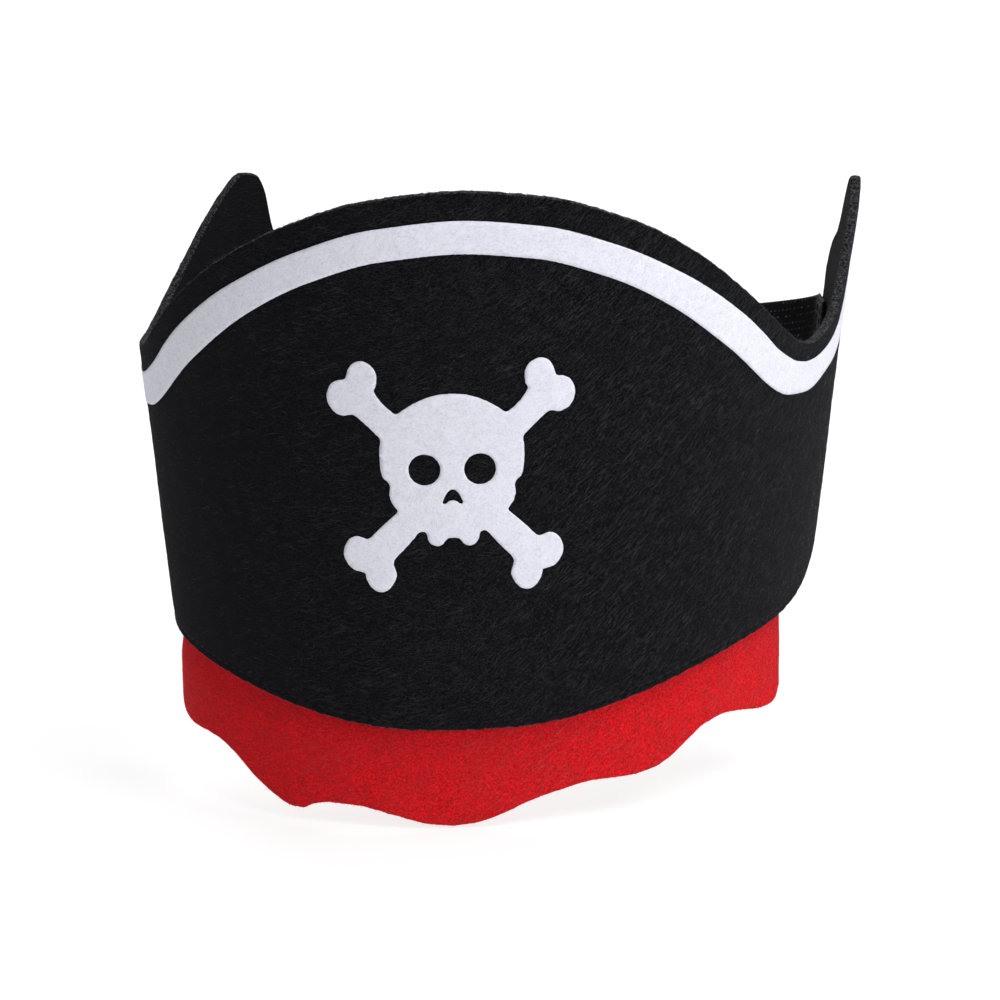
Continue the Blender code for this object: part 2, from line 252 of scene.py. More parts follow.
def plan_curve():
    """The line round the head at height 0: arc length, position and heading, one entry a millimetre."""
    arc = np.arange(-PANEL_REACH - 20, PANEL_REACH + 21)
    knots = np.arange(len(CURL_LEFT)) * CURL_STEP
    left = np.interp(-arc, knots, CURL_LEFT)
    right = np.interp(arc, knots, CURL_RIGHT)
    curl = np.where(arc < 0, left, right) * MM
    middle = len(arc) // 2
    heading = np.concatenate([[0], np.cumsum((curl[1:] + curl[:-1]) / 2)])
    heading -= heading[middle]
    x = np.concatenate([[0], np.cumsum((np.cos(heading[1:]) + np.cos(heading[:-1])) / 2)])
    y = np.concatenate([[0], np.cumsum((np.sin(heading[1:]) + np.sin(heading[:-1])) / 2)])
    return arc, x - x[middle], y - y[middle], heading


ARC, PLAN_X, PLAN_Y, HEADING = plan_curve()


def place(along, up, depth, hang_from=None):
    """Bend points of the flat felt into the hat, depth behind its outer face; plumb below hang_from."""
    along, up, depth = np.broadcast_arrays(*(np.asarray(part, float) for part in (along, up, depth)))
    level = up if hang_from is None else np.maximum(up, hang_from)
    widen = 1 + FLARE * level
    lean = EAR_LEAN
    for at, start, end in zip((along, up), EAR_LEAN_FROM, EAR_LEAN_TO):
        lean = lean * ease((at - start) / (end - start))
    depth = depth - lean
    heading = np.interp(along, ARC, HEADING)
    x = np.interp(along, ARC, PLAN_X) * widen - np.sin(heading) * depth
    y = FLARE_CENTRE + (np.interp(along, ARC, PLAN_Y) - FLARE_CENTRE) * widen + np.cos(heading) * depth
    return np.stack([x - HEAD_CENTRE[0], y - HEAD_CENTRE[1], up], -1) * MM


def strip_place(along, up, depth):
    """A point of the red strip, which hangs plumb below the black edge and kicks out at the left."""
    edge = bottom_edge(along)
    below = np.maximum(0, edge - up)
    kick = STRIP_KICK * ease(below / STRIP_KICK_LENGTH) * ease(along / STRIP_LEFT)
    return place(along, up, depth - kick, hang_from=edge)


def lumps(along, up, size, seed):
    """Smooth noise over the flat cloth, from -1 to 1, with lumps about size millimetres across."""
    flat = np.stack([np.ravel(along) / size, np.ravel(up) / size], -1)
    values = [noise.noise((a, b, seed)) for a, b in flat.tolist()]
    return np.array(values).reshape(np.shape(along))


# ---------------------------------------------------------------- materials

class Look:
    """A material under construction, with short calls for its nodes."""

    def __init__(self, name, **shader_values):
        self.material = bpy.data.materials.new(name)
        self.material.use_nodes = True
        self.tree = self.material.node_tree
        self.shader = self.tree.nodes["Principled BSDF"]
        for socket, value in shader_values.items():
            self.shader.inputs[socket.replace("_", " ")].default_value = value
        flat = self.tree.nodes.new("ShaderNodeAttribute")
        flat.attribute_name = "flat"
        self.flat = flat.outputs["Vector"]

    def node(self, kind, inputs=None, **settings):
        made = self.tree.nodes.new("ShaderNode" + kind)
        for key, value in settings.items():
            setattr(made, key, value)
        for key, value in (inputs or {}).items():
            if isinstance(value, bpy.types.NodeSocket):
                self.tree.links.new(value, made.inputs[key])
            else:
                made.inputs[key].default_value = value
        return made

    def math(self, operation, a, b=0.0):
        return self.node("Math", {0: a, 1: b}, operation=operation).outputs[0]

    def noise(self, vector, scale, detail=2.0, rough=0.5):
        made = self.node("TexNoise", {"Vector": vector, "Scale": scale, "Detail": detail, "Roughness": rough})
        return made.outputs["Fac"]

    def fade(self, value, low, high):
        """0 at low and 1 at high, held past both."""
        return self.node("MapRange", {"Value": value, "From Min": low, "From Max": high}).outputs["Result"]

    def mix(self, factor, a, b):
        made = self.node("Mix", data_type="RGBA")
        for key, value in ((0, factor), (6, a), (7, b)):
            if isinstance(value, bpy.types.NodeSocket):
                self.tree.links.new(value, made.inputs[key])
            else:
                made.inputs[key].default_value = value if key == 0 else (*value, 1)
        return made.outputs[2]

    def warped(self, size, reach):
        """The flat coordinates, pushed about smoothly, so that lines drawn on them curve."""
        push = self.node("TexNoise", {"Vector": self.flat, "Scale": 1 / size, "Detail": 1.0}).outputs["Color"]
        centred = self.node("VectorMath", {0: push, 1: (0.5, 0.5, 0.5)}, operation="SUBTRACT").outputs[0]
        scaled = self.node("VectorMath", {0: centred, "Scale": reach}, operation="SCALE").outputs[0]
        return self.node("VectorMath", {0: self.flat, 1: scaled}, operation="ADD").outputs[0]

    def streaks(self, vector, angles, long, thin, low, high):
        """Fine straight fibres in several directions, as a mask: long and thin are their usual size."""
        total = None
        for i, angle in enumerate(angles):
            turned = self.node("Mapping", {
                "Vector": vector,
                "Location": (17.0 * i, 31.0 * i, 5.0 * i),
                "Rotation": (0, 0, math.radians(-angle)),
            }).outputs[0]
            drawn = self.node("Mapping", {"Vector": turned, "Scale": (1 / long, 1 / thin, 0.1)}).outputs[0]
            mask = self.fade(self.noise(drawn, 1.0, 2.0, 0.6), low, high)
            total = mask if total is None else self.math("MAXIMUM", total, mask)
        return total

    def repeat(self, value, pitch, low, high):
        """Stripes once a pitch, fading in between low and high parts of it from their middle lines."""
        part = self.math("FRACT", self.math("DIVIDE", value, pitch))
        return self.fade(self.math("ABSOLUTE", self.math("SUBTRACT", part, 0.5)), low, high)

    def times(self, a, b):
        return self.math("MULTIPLY", a, b)

    def inverse(self, value):
        return self.math("SUBTRACT", 1.0, value)

    def bump(self, height, distance, strength):
        made = self.node("Bump", {"Height": height, "Distance": distance * MM, "Strength": strength})
        self.tree.links.new(made.outputs[0], self.shader.inputs["Normal"])

    def colour(self, socket):
        self.tree.links.new(socket, self.shader.inputs["Base Color"])


def felt_look(name, deep, body, smooth, fibre, tuft, tint, sheen, fibre_share, outer, inner):
    """Needle-punched felt, with level fibres at its left, slanted ones at its right, and tufted cut edges.

    deep, body and fibre are the colours of its gaps, ground and pale fibres, smooth the ground's where the
    painted side light is weak, and tuft the cut edge's. outer and inner are the depths of its two faces.
    """
    look = Look(name, Roughness=0.95, Specular_IOR_Level=0.04, Sheen_Weight=sheen, Sheen_Roughness=0.4)
    look.shader.inputs["Sheen Tint"].default_value = (*tint, 1)
    parts = look.node("SeparateXYZ", {"Vector": look.flat})
    along, depth = parts.outputs["X"], parts.outputs["Z"]
    curved = look.warped(40.0, 5.0)
    level = look.streaks(curved, (4, 22, 165), long=4.6, thin=0.25, low=0.60, high=0.70)
    slanted = look.streaks(curved, (32, 45, 58), long=4.6, thin=0.25, low=0.60, high=0.70)
    slant = look.fade(along, -35.0, 35.0)
    long_fibres = look.math("ADD", look.times(level, look.inverse(slant)), look.times(slanted, slant))
    short_fibres = look.streaks(curved, (12, 52, 96, 140), long=1.1, thin=0.22, low=0.61, high=0.73)
    # Painted light: pale fibres and the lighter ground fade out from the right to the left, standing in for
    # light from the right; held low on the inner face too
    painted_side_light = look.node("MapRange", {
        "Value": along, "From Min": -110.0, "From Max": 20.0, "To Min": 0.25, "To Max": 1.0,
    }).outputs["Result"]
    inner_face_damping = look.times(look.fade(depth, outer + CUT_MARGIN, inner - CUT_MARGIN), 0.75)
    painted_side_light = look.math("MINIMUM", painted_side_light, look.inverse(inner_face_damping))
    patches = look.noise(look.flat, scale=0.11, detail=3.0, rough=0.6)
    grain = look.noise(look.flat, scale=2.3, detail=3.0, rough=0.8)
    ground = look.mix(look.fade(grain, 0.43, 0.58), deep, body)
    ground = look.mix(look.times(look.fade(patches, 0.40, 0.62), 0.30), ground, deep)
    # Painted shade: where the painted side light is weak, the ground turns to the smooth colour
    ground = look.mix(look.times(look.inverse(painted_side_light), 0.8), ground, smooth)
    fibres = look.math("MAXIMUM", look.times(long_fibres, look.fade(patches, 0.30, 0.58)),
                       look.times(short_fibres, 0.7))
    fibres = look.times(fibres, painted_side_light)
    felt = look.mix(look.times(fibres, fibre_share), ground, fibre)
    cut = look.times(look.fade(depth, outer + CUT_MARGIN, outer + 3 * CUT_MARGIN),
                     look.fade(depth, inner - CUT_MARGIN, inner - 3 * CUT_MARGIN))
    tufts = look.fade(look.noise(look.flat, scale=1.5, detail=3.0, rough=0.8), 0.46, 0.60)
    look.colour(look.mix(look.times(cut, tufts), felt, tuft))
    height = look.math("ADD", grain, look.times(look.math("ADD", long_fibres, short_fibres), 0.8))
    look.bump(height, distance=0.30, strength=1.0)
    return look.material


def black_felt_look():
    return felt_look(
        "black_felt_visual", deep=(0.0006, 0.0007, 0.0010), body=(0.0052, 0.0054, 0.0071),
        # smooth: the ground's colour on the painted-shade side at the left, where the pale fibres are left
        # out
        smooth=(0.0062, 0.0064, 0.0072), fibre=(0.120, 0.122, 0.140), tuft=(0.085, 0.085, 0.095),
        tint=(0.9, 0.9, 1.0), sheen=0.028, fibre_share=0.40, outer=0.0, inner=FELT,
    )


def red_felt_look():
    return felt_look(
        "red_felt_visual", deep=(0.42, 0.002, 0.005), body=(1.0, 0.010, 0.018),
        # smooth: the ground's colour on the painted-shade side at the left, a painted shade darker than body
        smooth=(0.71, 0.014, 0.020), fibre=(1.0, 0.15, 0.16), tuft=(1.0, 0.15, 0.16),
        tint=(1.0, 0.3, 0.3), sheen=0.085, fibre_share=0.42, outer=FELT + GAP, inner=FELT + GAP + RED_FELT,
    )


def ink_look():
    """White ink that has soaked into the felt: matt, a little patchy, with dark fibres showing through."""
    look = Look("white_ink_visual", Roughness=0.75, Specular_IOR_Level=0.2)
    curved = look.warped(70.0, 60.0)
    fibres = look.streaks(curved, (12, 47, 90, 160), long=2.6, thin=0.26, low=0.60, high=0.74)
    patches = look.noise(look.flat, scale=0.35, detail=3.0, rough=0.6)
    grain = look.noise(look.flat, scale=2.0, detail=3.0, rough=0.75)
    ground = look.mix(look.fade(patches, 0.36, 0.64), (0.675, 0.675, 0.755), (0.715, 0.715, 0.795))
    specks = look.fade(grain, 0.48, 0.34)
    ground = look.mix(look.times(specks, 0.45), ground, (0.42, 0.42, 0.52))
    look.colour(look.mix(look.times(fibres, 0.38), ground, (0.36, 0.36, 0.44)))
    look.bump(look.math("ADD", grain, look.times(fibres, 0.5)), distance=0.12, strength=0.8)
    return look.material


def elastic_look():
    """Black woven elastic with rows of pale dots where the rubber shows between the ribs."""
    look = Look("black_elastic_visual", Roughness=0.75, Specular_IOR_Level=0.12, Sheen_Weight=0.02)
    parts = look.node("SeparateXYZ", {"Vector": look.flat})
    row = look.repeat(parts.outputs["Y"], pitch=2.1, low=0.15, high=0.08)
    dots = look.times(row, look.repeat(parts.outputs["X"], pitch=1.2, low=0.28, high=0.16))
    uneven = look.fade(look.noise(look.flat, scale=0.45, detail=2.0), 0.46, 0.64)
    dots = look.times(dots, uneven)
    grain = look.noise(look.flat, scale=3.0, detail=2.0)
    ground = look.mix(grain, (0.003, 0.003, 0.004), (0.010, 0.010, 0.012))
    look.colour(look.mix(dots, ground, (0.10, 0.10, 0.11)))
    look.bump(grain, distance=0.05, strength=0.6)
    return look.material


def thread_look():
    """Black spun polyester thread."""
    look = Look("black_thread_visual", Roughness=0.6, Specular_IOR_Level=0.15, Sheen_Weight=0.03)
    grain = look.noise(look.flat, scale=6.0, detail=2.0)
    look.colour(look.mix(grain, (0.002, 0.002, 0.0025), (0.010, 0.010, 0.012)))
    look.bump(grain, distance=0.05, strength=0.7)
    return look.material


def fibre_look(name, dark, light):
    """Loose fibres, some darker and some lighter."""
    look = Look(name, Roughness=0.7, Specular_IOR_Level=0.1)
    shade = look.fade(look.noise(look.flat, scale=0.9, detail=1.0), 0.35, 0.65)
    look.colour(look.mix(shade, dark, light))
    return look.material


# ---------------------------------------------------------------- meshes

def mesh_piece(name, points, faces, flat, look, body="hat"):
    """A mesh from points in metres, with its flat coordinates in millimetres, on a CAD body."""
    data = bpy.data.meshes.new(name)
    data.from_pydata(np.asarray(points).reshape(-1, 3).tolist(), [], faces)
    build = bmesh.new()
    build.from_mesh(data)
    bmesh.ops.recalc_face_normals(build, faces=build.faces)
    build.to_mesh(data)
    build.free()
    stored = data.attributes.new("flat", "FLOAT_VECTOR", "POINT")
    stored.data.foreach_set("vector", np.asarray(flat, np.float32).ravel())
    data.shade_smooth()
    data.materials.append(look)
    made = bpy.data.objects.new(name, data)
    bpy.context.scene.collection.objects.link(made)
    if body:
        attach(made, body)
    return made


def sheet_mesh(bend_it, stations, rows, outer, thick, pinch, relief, tuft, seed):
    """Points, faces and flat coordinates of a closed sheet whose cut edges are tufted.

    rows gives each column's heights, from its lower edge to its upper edge, and outer the depth of its outer
    face. pinch is how far the rim is drawn in from each face, relief how far the front and the back stand
    out, and tuft how far the tufts do. The flat coordinates leave the relief out.
    """
    along = np.repeat(np.asarray(stations, float)[:, None], rows.shape[1], 1)
    up = rows
    to_rim = np.minimum(up - up[:, :1], up[:, -1:] - up)
    to_rim = np.minimum(to_rim, np.minimum(along - along[0, 0], along[-1, 0] - along))
    rounded = pinch * np.clip(1 - to_rim / (2.2 * pinch), 0, 1) ** 2
    front = outer + rounded - relief[0]
    back = outer + thick - rounded + relief[1]
    t = np.linspace(0, 1, RIM_POINTS + 2)[None, 1:-1]
    rims = []
    for end, sign in ((-1, 1), (0, -1)):
        depth = front[:, end, None] + (back[:, end, None] - front[:, end, None]) * t
        side = along[:, :RIM_POINTS]
        bulge = pinch * np.sin(math.pi * t) + tuft * lumps(side, depth, 0.8, seed + sign)
        rims.append((side, up[:, end, None] + sign * bulge, depth))
    high_rim, low_rim = rims
    ring_along = np.hstack([along, high_rim[0], along[:, ::-1], low_rim[0]])
    ring_up = np.hstack([up, high_rim[1], up[:, ::-1], low_rim[1][:, ::-1]])
    ring_depth = np.hstack([front, high_rim[2], back[:, ::-1], low_rim[2][:, ::-1]])
    points = bend_it(ring_along, ring_up, ring_depth)
    even = np.hstack([front + relief[0], high_rim[2], (back - relief[1])[:, ::-1], low_rim[2][:, ::-1]])
    flat = np.stack([ring_along, ring_up, even], -1)
    wide, ring = ring_along.shape
    number = np.arange(wide * ring).reshape(wide, ring)
    near, far = number[:-1], number[1:]
    quads = np.stack([near, far, np.roll(far, -1, 1), np.roll(near, -1, 1)], -1).reshape(-1, 4)
    faces = quads.tolist()
    high = rows.shape[1]
    last = 2 * high + RIM_POINTS - 1
    for cap in (number[0].tolist(), number[-1].tolist()):
        for j in range(high - 1):
            faces.append((cap[j], cap[j + 1], cap[last - j - 1], cap[last - j]))
        faces.append(tuple(cap[high - 1:high + RIM_POINTS + 1]))
        faces.append((cap[0], *cap[last:]))
    return points, faces, flat


def spread(low, high, count, edge):
    """Heights from low to high, an array each, with extra rows close to both ends."""
    span = (high - low)[:, None]
    inner = np.linspace(edge[-1], 1, count)[None, :]
    near = np.array([0.0, *edge])[None, :]
    middle = near[:, -1:] + (span - 2 * near[:, -1:]) * (inner - edge[-1]) / (1 - edge[-1])
    rows = np.hstack([near + 0 * span, middle[:, 1:-1], span - near[:, ::-1]])
    return low[:, None] + rows


def tubes(paths, radius, sides, twist=0.0, taper=False):
    """Closed round tubes along many paths of the same length: (count, steps, 3) points in metres."""
    paths = np.asarray(paths)
    count, length, _ = paths.shape
    run = np.gradient(paths, axis=1)
    run /= np.linalg.norm(run, axis=2, keepdims=True) + 1e-12
    guide = np.where(np.abs(run[:, :1, 2:]) < 0.8, [[[0.0, 0.0, 1.0]]], [[[1.0, 0.0, 0.0]]])
    side = np.cross(run, guide)
    side /= np.linalg.norm(side, axis=2, keepdims=True)
    lift = np.cross(side, run)
    t = np.linspace(0, 1, length)[None, :, None]
    angle = np.arange(sides)[None, None, :] * 2 * math.pi / sides
    size = np.reshape(np.broadcast_to(radius, (count,)), (count, 1, 1)) * np.ones_like(t)
    if taper:
        size = size * (1 - 0.7 * t)
    else:
        size = size * np.sqrt(np.clip(1 - np.abs(2 * t - 1) ** 6 * 0.9, 0.05, 1))
    size = size * (1 + (0.2 * np.cos(2 * angle + twist * t) if twist else 0 * angle))
    ring = (paths[:, :, None] + side[:, :, None] * (size * np.cos(angle))[..., None]
            + lift[:, :, None] * (size * np.sin(angle))[..., None])
    number = np.arange(count * length * sides).reshape(count, length, sides)
    near, far = number[:, :-1], number[:, 1:]
    quads = np.stack([near, far, np.roll(far, -1, 2), np.roll(near, -1, 2)], -1).reshape(-1, 4)
    faces = quads.tolist() + number[:, 0, ::-1].tolist() + number[:, -1].tolist()
    return ring.reshape(-1, 3), faces


# ---------------------------------------------------------------- black felt

def seam_groove(along, up):
    """How far the seams draw the black felt's outer face in."""
    hem = np.exp(-((up - bottom_edge(along) - HEM_INSET) / GROOVE_WIDTH) ** 2)
    hem = hem * ease((along - STRIP_LEFT) / 2) * ease((STRIP_RIGHT - along) / 2)
    sewn = 0 * along
    for line in ELASTIC_SEAMS:
        sewn = sewn + np.exp(-((np.abs(along) - line) / GROOVE_WIDTH) ** 2)
    sewn = sewn * ease((up - ELASTIC_LOW) / 2) * ease((ELASTIC_HIGH - up) / 2)
    return SEAM_GROOVE * np.maximum(hem, sewn)


def face_relief(along, up):
    """How far the black felt's outer face stands out from its even surface."""
    return 0.22 * lumps(along, up, 26, 1) + 0.07 * lumps(along, up, 5, 2) - seam_groove(along, up)


def ragged(along, reach, seed):
    """How far a cut edge strays from its line, in slow waves with small nicks on them."""
    wave = lumps(along, 0 * along, 2.6, seed)
    nicks = lumps(along, 0 * along, 0.8, seed + 1)
    return reach * (wave + 0.7 * nicks)


def felt_panel(look):
    """The black felt, with its stations closer together where each ear drops to the felt's end."""
    before_drop = np.arange(0, 182, 0.7)
    drop = np.arange(182, 190, 0.35)
    after_drop = np.arange(190, 199.4, 0.7)
    half = np.concatenate([before_drop, drop, after_drop, [199.7, 200.0]])
    stations = np.concatenate([-half[:0:-1], half])
    top = top_edge(stations) + ragged(stations, reach=0.24, seed=3)
    bottom = bottom_edge(stations) + ragged(stations, reach=0.34, seed=13)
    rows = spread(bottom, top, count=72, edge=(0.25, 0.7))
    along = np.repeat(stations[:, None], rows.shape[1], 1)
    inner_relief = 0.20 * lumps(along, rows, 22, 5) + 0.07 * lumps(along, rows, 5, 6)
    relief = (face_relief(along, rows), inner_relief)
    points, faces, flat = sheet_mesh(place, stations, rows, outer=0.0, thick=FELT, pinch=0.25, relief=relief,
                                     tuft=0.32, seed=7)
    made = mesh_piece("felt_panel_visual", points, faces, flat, look)
    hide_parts("felt_panel")
    cut = float(np.trapz(top_edge(stations) - bottom_edge(stations), stations))


# ---------------------------------------------------------------- printed ink

def closed_outline(points, step, rough):
    """A smooth closed line through the points, as evenly spaced points with a slightly ragged edge."""
    ring = np.array(points, float)
    previous, after, beyond = np.roll(ring, 1, 0), np.roll(ring, -1, 0), np.roll(ring, -2, 0)
    t = np.linspace(0, 1, 8, endpoint=False)[None, :, None]
    a, b, c, d = (part[:, None] for part in (previous, ring, after, beyond))
    square = (2 * a - 5 * b + 4 * c - d) * t ** 2
    cube = (3 * b - a - 3 * c + d) * t ** 3
    line = 0.5 * (2 * b + (c - a) * t + square + cube)
    line = line.reshape(-1, 2)
    gone = np.concatenate([[0], np.cumsum(np.linalg.norm(np.roll(line, -1, 0) - line, axis=1))])
    closed = np.vstack([line, line[:1]])
    at = np.linspace(0, gone[-1], max(12, int(gone[-1] / step)), endpoint=False)
    even = np.stack([np.interp(at, gone, closed[:, k]) for k in (0, 1)], -1)
    run = np.roll(even, -1, 0) - np.roll(even, 1, 0)
    run /= np.linalg.norm(run, axis=1, keepdims=True)
    push = rough * lumps(even[:, 0], even[:, 1], 0.9, 11)
    return even + np.stack([run[:, 1], -run[:, 0]], -1) * push[:, None]


def inside(points, loops):
    """Which points lie inside an odd number of the loops."""
    odd = np.zeros(len(points), bool)
    for loop in loops:
        x, y = loop.T
        ahead_x, ahead_y = np.roll(x, -1), np.roll(y, -1)
        for k in range(len(loop)):
            spans = (y[k] > points[:, 1]) != (ahead_y[k] > points[:, 1])
            if spans.any():
                cross = x[k] + (points[:, 1] - y[k]) * (ahead_x[k] - x[k]) / (ahead_y[k] - y[k] + 1e-15)
                odd ^= spans & (points[:, 0] < cross)
    return odd


def ink_piece(name, loops, spacing, look, cad_node):
    """A thin layer of ink inside the loops, laid on the outer face of the black felt."""
    every = np.vstack(loops)
    low, high = every.min(0), every.max(0)
    grid = np.stack(np.meshgrid(np.arange(low[0], high[0], spacing), np.arange(low[1], high[1], spacing)), -1)
    grid = grid.reshape(-1, 2)
    keep = inside(grid, loops)
    for shift in ((0.5, 0), (-0.5, 0), (0, 0.5), (0, -0.5)):
        keep &= inside(grid + np.array(shift) * spacing, loops)
    grid = grid[keep]
    edges = []
    start = 0
    for loop in loops:
        size = len(loop)
        edges += [(start + k, start + (k + 1) % size) for k in range(size)]
        start += size
    flat = [Vector(point) for point in np.vstack([every, grid]).tolist()]
    drawn = geometry.delaunay_2d_cdt(flat, edges, [], 1, 1e-6)
    spots = np.array([tuple(point) for point in drawn[0]])
    triangles = np.array([face for face in drawn[2] if len(face) == 3])
    triangles = triangles[inside(spots[triangles].mean(1), loops)]
    count = len(spots)
    ends = np.vstack([triangles[:, [0, 1]], triangles[:, [1, 2]], triangles[:, [2, 0]]])
    directed = set(map(tuple, ends.tolist()))
    walls = [(a, b, b + count, a + count) for a, b in directed if (b, a) not in directed]
    faces = triangles.tolist() + (triangles[:, ::-1] + count).tolist() + sorted(walls)
    relief = face_relief(spots[:, 0], spots[:, 1])
    front, back = -relief - PRINT_LIFT - PRINT, -relief - PRINT_LIFT
    points = np.vstack([place(spots[:, 0], spots[:, 1], front), place(spots[:, 0], spots[:, 1], back)])
    flat = np.vstack([np.column_stack([spots, front]), np.column_stack([spots, back])])
    used = np.unique(np.concatenate([np.ravel(face) for face in faces]))
    renumber = np.full(2 * count, -1)
    renumber[used] = np.arange(len(used))
    faces = [[int(renumber[k]) for k in face] for face in faces]
    made = mesh_piece(name, points[used], faces, flat[used], look)
    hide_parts(cad_node)


def mirrored(half, centre):
    """A closed outline from its right half."""
    right = [(centre + x, up) for x, up in half]
    left = [(centre - x, up) for x, up in half[-2:0:-1]]
    return right + left


def skull(look):
    """The skull and crossbones, with holes for the eyes and the nose."""
    loops = [closed_outline(mirrored(SKULL_HALF, SKULL_CENTRE), 0.35, 0.09)]
    for side in (-1, 1):
        x, up, wide, tall = EYE
        turn = np.arange(24) * 2 * math.pi / 24
        ring = np.stack([SKULL_CENTRE + side * x + wide * np.cos(turn), up + tall * np.sin(turn)], -1)
        loops.append(closed_outline(ring, 0.3, 0.08))
    loops.append(closed_outline(mirrored(NOSE_HALF, SKULL_CENTRE), 0.25, 0.05))
    ink_piece("skull_print_visual", loops, 0.8, look, "skull_print")


def inset_point(along, inset):
    """The point that lies inset below the untrimmed top edge, measured square to it on the bent felt."""
    side = np.abs(along)
    rise = top_of_half(side + 0.5) - top_of_half(np.abs(side - 0.5))
    widen = 1 + FLARE * top_of_half(side)
    length = np.hypot(widen, rise)
    moved = np.sign(along) * (side + rise / length * inset / widen)
    return np.stack([moved, top_of_half(side) - widen / length * inset], -1)


def stripe(look):
    """The stripe that follows the upper edge."""
    at = np.arange(-STRIPE_REACH, STRIPE_REACH + 0.1, 0.5)
    lines = []
    for inset, lift, seed in ((STRIPE_MARGIN, stripe_lift_high, 21),
                              (STRIPE_MARGIN + STRIPE_WIDTH, stripe_lift_low, 22)):
        line = inset_point(at, inset + 0.09 * lumps(at, 0 * at, 0.9, seed))
        line[:, 1] += lift(np.abs(line[:, 0]))
        lines.append(line)
    loop = np.vstack([lines[0], lines[1][::-1]])
    ink_piece("trim_stripe_visual", [loop], 1.0, look, "trim_stripe_print")


# ---------------------------------------------------------------- red strip

def red_strip(look):
    """The red felt strip with its wavy lower edge."""
    inner = np.arange(STRIP_LEFT + 1, STRIP_RIGHT - 0.5, 1.0)
    stations = np.concatenate([[STRIP_LEFT, STRIP_LEFT + 0.3], inner, [STRIP_RIGHT - 0.3, STRIP_RIGHT]])
    low = scallop_edge(stations) + ragged(stations, reach=0.12, seed=31)
    high = bottom_edge(stations) + STRIP_OVERLAP
    rows = spread(low, high, count=34, edge=(0.2, 0.6))
    along = np.repeat(stations[:, None], rows.shape[1], 1)
    free = ease((bottom_edge(along) - rows) / 6)
    wave = free * (0.35 * lumps(along, rows * 0.4, 17, 32) + 0.08 * lumps(along, rows, 4, 33))
    points, faces, flat = sheet_mesh(strip_place, stations, rows, outer=FELT + GAP, thick=RED_FELT,
                                     pinch=0.15, relief=(wave, -wave), tuft=0.18, seed=34)
    made = mesh_piece("scallop_strip_visual", points, faces, flat, look)
    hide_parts("scallop_strip")


# ---------------------------------------------------------------- elastic

def elastic_lines(levels):
    """Middle surface of the elastic: (levels, stations, 3) in metres, and the length run at each station."""
    depth = FELT + GAP + ELASTIC / 2
    sewn = np.linspace(PANEL_REACH - ELASTIC_OVERLAP, PANEL_REACH, SEWN_STATIONS)
    lines = []
    for up in levels:
        right = place(sewn, up, depth)
        left = place(-sewn, up, depth)
        start, end = right[-1], left[-1]
        leave = start + (right[-1] - right[-2]) / np.linalg.norm(right[-1] - right[-2]) * ELASTIC_BOW * MM
        arrive = end + (left[-1] - left[-2]) / np.linalg.norm(left[-1] - left[-2]) * ELASTIC_BOW * MM
        t = np.linspace(0, 1, SPAN_STATIONS + 1)[1:-1, None]
        s = 1 - t
        span = start * s ** 3 + leave * 3 * t * s ** 2 + arrive * 3 * t * t * s + end * t ** 3
        span[:, 2] -= (ELASTIC_SAG * MM * 4 * t * (1 - t))[:, 0]
        lines.append(np.vstack([right, span, left[::-1]]))
    lines = np.array(lines)
    middle = lines[len(lines) // 2]
    run = np.concatenate([[0], np.cumsum(np.linalg.norm(np.diff(middle, axis=0), axis=1))]) / MM
    return lines, run


def elastic(look):
    """The woven band, sewn inside the felt's two ends, which bows back and sags between them."""
    wide = ELASTIC_HIGH - ELASTIC_LOW
    across = np.concatenate([[0, 0.12], np.arange(0.4, wide - 0.3, 0.3), [wide - 0.12, wide]])
    lines, run = elastic_lines(ELASTIC_LOW + across)
    along_run = np.gradient(lines, axis=1)
    over = np.gradient(lines, axis=0)
    normal = np.cross(along_run, over)
    normal /= np.linalg.norm(normal, axis=2, keepdims=True)
    up = np.repeat(across[:, None], len(run), 1)
    length = np.repeat(run[None, :], len(across), 0)
    rib = np.abs(np.sin(math.pi * up / ELASTIC_RIB))
    turn = length / ELASTIC_PICK + 0.5 * (np.floor(up / ELASTIC_RIB) % 2)
    pick = 0.5 + 0.5 * np.cos(2 * math.pi * turn)
    relief = ELASTIC_RELIEF * rib * (0.35 + 0.65 * pick)
    to_rim = np.minimum(np.minimum(up, wide - up), np.minimum(length, run[-1] - length))
    rounded = ELASTIC_ROUND * np.clip(1 - to_rim / 0.6, 0, 1) ** 2
    half = (ELASTIC / 2 - 0.08 - rounded + relief)[..., None] * MM
    scallop = (ELASTIC_SCALLOP * np.cos(2 * math.pi * length / ELASTIC_PICK))[..., None] * MM
    side = over / np.linalg.norm(over, axis=2, keepdims=True)
    rim = np.where(up < 0.2, -1.0, np.where(up > wide - 0.2, 1.0, 0.0))[..., None]
    middle = lines + side * scallop * rim
    front, back = middle + normal * half, middle - normal * half
    rows = len(across)
    ring = np.concatenate([front, back[::-1]], 0).transpose(1, 0, 2)
    flat = np.stack([length, up, 0 * up], -1)
    flat = np.concatenate([flat, flat[::-1]], 0).transpose(1, 0, 2)
    number = np.arange(len(run) * 2 * rows).reshape(len(run), 2 * rows)
    near, far = number[:-1], number[1:]
    faces = np.stack([near, far, np.roll(far, -1, 1), np.roll(near, -1, 1)], -1).reshape(-1, 4).tolist()
    for cap in (number[0].tolist(), number[-1].tolist()):
        for j in range(rows - 1):
            faces.append((cap[j], cap[j + 1], cap[2 * rows - j - 2], cap[2 * rows - j - 1]))
    made = mesh_piece("elastic_band_visual", ring, faces, flat, look, body=None)
    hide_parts("elastic_band")
    left_end = lines[rows // 2][-SEWN_STATIONS]
    right_end = lines[rows // 2][SEWN_STATIONS - 1]
    chord = right_end - left_end
    out = np.array([-chord[1], chord[0], 0.0])
    out *= np.sign(out[1]) / np.linalg.norm(out)
    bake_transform(made)


# ---------------------------------------------------------------- stitches and loose fibres

